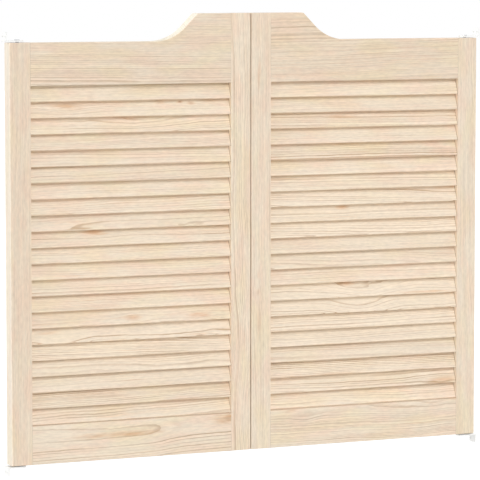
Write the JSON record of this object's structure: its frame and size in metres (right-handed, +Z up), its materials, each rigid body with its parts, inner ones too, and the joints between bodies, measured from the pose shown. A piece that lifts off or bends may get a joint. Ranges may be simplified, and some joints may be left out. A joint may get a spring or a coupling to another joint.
{
  "type": "cafe swinging doors",
  "caption": "Pair of louvred softwood cafe doors with raised crowns at the middle, swinging both ways on top and bottom pivots between two jambs.",
  "frame": {"origin": "on the centre line of the doorway, in the middle of the leaves' thickness, level with the foot of the lower jamb brackets; the leaves' lower edge is 24.5 mm above it", "axes": "+Z up, +X across the doorway to the right seen from the front, +Y through the doorway towards the back; the slats' front edges face -Y"},
  "size_m": [1.261, 0.035, 1.0915],
  "materials": {
    "frame_pine": "sanded, unfinished pine, grain along each board",
    "slat_pine": "sanded, unfinished pine, grain along the slat",
    "dowel_beech": "plain turned beech",
    "white_nylon": "matt moulded nylon",
    "white_painted_steel": "satin white paint",
    "bright_steel": "bright turned steel"
  },
  "bodies": {
    "jamb_hardware": {"upper_jamb_brackets": "white_painted_steel", "lower_jamb_brackets": "white_painted_steel", "upper_pivot_pins": "bright_steel", "lower_pivot_spindles": "bright_steel"},
    "left_leaf": {"left_slat_01": "slat_pine", "left_slat_02": "slat_pine", "left_slat_03": "slat_pine", "left_slat_04": "slat_pine", "left_slat_05": "slat_pine", "left_slat_06": "slat_pine", "left_slat_07": "slat_pine", "left_slat_08": "slat_pine", "left_slat_09": "slat_pine", "left_slat_10": "slat_pine", "left_slat_11": "slat_pine", "left_slat_12": "slat_pine", "left_slat_13": "slat_pine", "left_slat_14": "slat_pine", "left_slat_15": "slat_pine", "left_slat_16": "slat_pine", "left_slat_17": "slat_pine", "left_slat_18": "slat_pine", "left_slat_19": "slat_pine", "left_slat_20": "slat_pine", "left_slat_21": "slat_pine", "left_outer_stile": "frame_pine", "left_meeting_stile": "frame_pine", "left_top_rail": "frame_pine", "left_bottom_rail": "frame_pine", "left_frame_dowels": "dowel_beech", "left_upper_bush": "white_nylon", "left_spring_cartridge": "white_nylon"},
    "right_leaf": {"right_slat_01": "slat_pine", "right_slat_02": "slat_pine", "right_slat_03": "slat_pine", "right_slat_04": "slat_pine", "right_slat_05": "slat_pine", "right_slat_06": "slat_pine", "right_slat_07": "slat_pine", "right_slat_08": "slat_pine", "right_slat_09": "slat_pine", "right_slat_10": "slat_pine", "right_slat_11": "slat_pine", "right_slat_12": "slat_pine", "right_slat_13": "slat_pine", "right_slat_14": "slat_pine", "right_slat_15": "slat_pine", "right_slat_16": "slat_pine", "right_slat_17": "slat_pine", "right_slat_18": "slat_pine", "right_slat_19": "slat_pine", "right_slat_20": "slat_pine", "right_slat_21": "slat_pine", "right_outer_stile": "frame_pine", "right_meeting_stile": "frame_pine", "right_top_rail": "frame_pine", "right_bottom_rail": "frame_pine", "right_frame_dowels": "dowel_beech", "right_upper_bush": "white_nylon", "right_spring_cartridge": "white_nylon"}
  },
  "joints": [
    {"name": "left_leaf_swing", "type": "hinge", "parent": "jamb_hardware", "child": "left_leaf", "pos_m": [-0.597, 0, 0.0245], "axis": [0, 0, 1], "range_deg": [-90, 90], "stiffness_Nm_per_rad": 3},
    {"name": "right_leaf_swing", "type": "hinge", "parent": "jamb_hardware", "child": "right_leaf", "pos_m": [0.597, 0, 0.0245], "axis": [0, 0, 1], "range_deg": [-90, 90], "stiffness_Nm_per_rad": 3}
  ]
}
